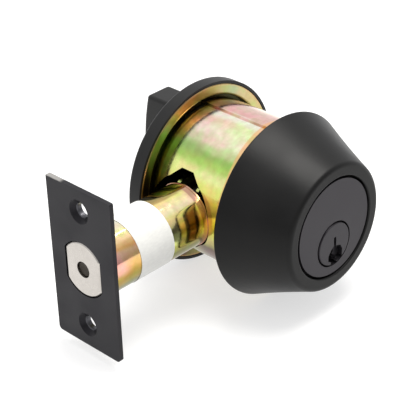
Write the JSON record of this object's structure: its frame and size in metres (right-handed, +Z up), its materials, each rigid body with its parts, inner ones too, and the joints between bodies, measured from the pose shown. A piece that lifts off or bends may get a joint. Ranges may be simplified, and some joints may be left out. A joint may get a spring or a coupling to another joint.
{
  "type": "deadbolt door lock",
  "caption": "Door deadbolt lock: tubular bolt behind a flat faceplate, tapered outside collar with a keyed cylinder, plated bore sleeve and an upright inside thumbturn.",
  "frame": {"origin": "where the lock axis (centre line of the cross bore) crosses the bolt axis (centre line of the edge bore)", "axes": "+Y along the cross bore towards the inside (thumbturn) face, -Y towards the keyed outside, the bolt throws towards -X, +Z up"},
  "size_m": [0.1022, 0.0819, 0.0648],
  "materials": {
    "black_cast": "satin black",
    "black_plate": "satin black",
    "black_cylinder": "satin black",
    "yellow_zinc": "bright yellow chromate plating",
    "satin_nickel": "satin",
    "hardened_steel": "dark oiled",
    "plain_steel": "plain",
    "spring_steel": "bright",
    "brass": "machined",
    "label_paper": "matt paper"
  },
  "bodies": {
    "lock_body": {"cylinder_collar": "black_cast", "collar_plate": "yellow_zinc", "cylinder_body": "black_cylinder", "driver_pins": "brass", "pin_springs": "spring_steel", "pin_chamber_cover": "brass", "bore_ring": "yellow_zinc", "faceplate": "black_plate", "backplate": "black_plate", "bolt_tube": "yellow_zinc", "tube_sleeve": "yellow_zinc", "bolt_label": "label_paper", "side_plate_outside": "yellow_zinc", "side_plate_inside": "yellow_zinc", "housing_spacers": "plain_steel", "rear_bush": "plain_steel", "mounting_plate": "yellow_zinc", "through_bolts": "yellow_zinc", "rose": "black_cast"},
    "turn_train": {"thumbturn": "black_cast", "thumbturn_spindle": "plain_steel", "spring_washer": "spring_steel", "retaining_clip": "spring_steel", "tailpiece": "plain_steel", "bolt_cam": "plain_steel", "cam_pin": "plain_steel"},
    "bolt": {"deadbolt": "satin_nickel", "hardened_pin": "hardened_steel", "tail_pin": "plain_steel", "bolt_tail": "plain_steel"},
    "plug": {"key_plug": "black_cylinder", "key_pins": "brass", "plug_retainer": "plain_steel", "retainer_screws": "plain_steel"}
  },
  "joints": [
    {"name": "thumbturn_turn", "type": "hinge", "parent": "lock_body", "child": "turn_train", "pos_m": [0, 0, -0.00606], "axis": [0, -1, 0], "range_deg": [0, 90]},
    {"name": "bolt_throw", "type": "slide", "parent": "lock_body", "child": "bolt", "axis": [-1, 0, 0], "range_m": [0, 0.0254]},
    {"name": "plug_turn", "type": "hinge", "parent": "lock_body", "child": "plug", "pos_m": [0, -0.028, -0.00606], "axis": [0, -1, 0], "range_deg": [-90, 90]}
  ],
  "couplings": [
    {"joint": "bolt_throw", "follows": "thumbturn_turn", "m_per_rad": 0.01617}
  ]
}
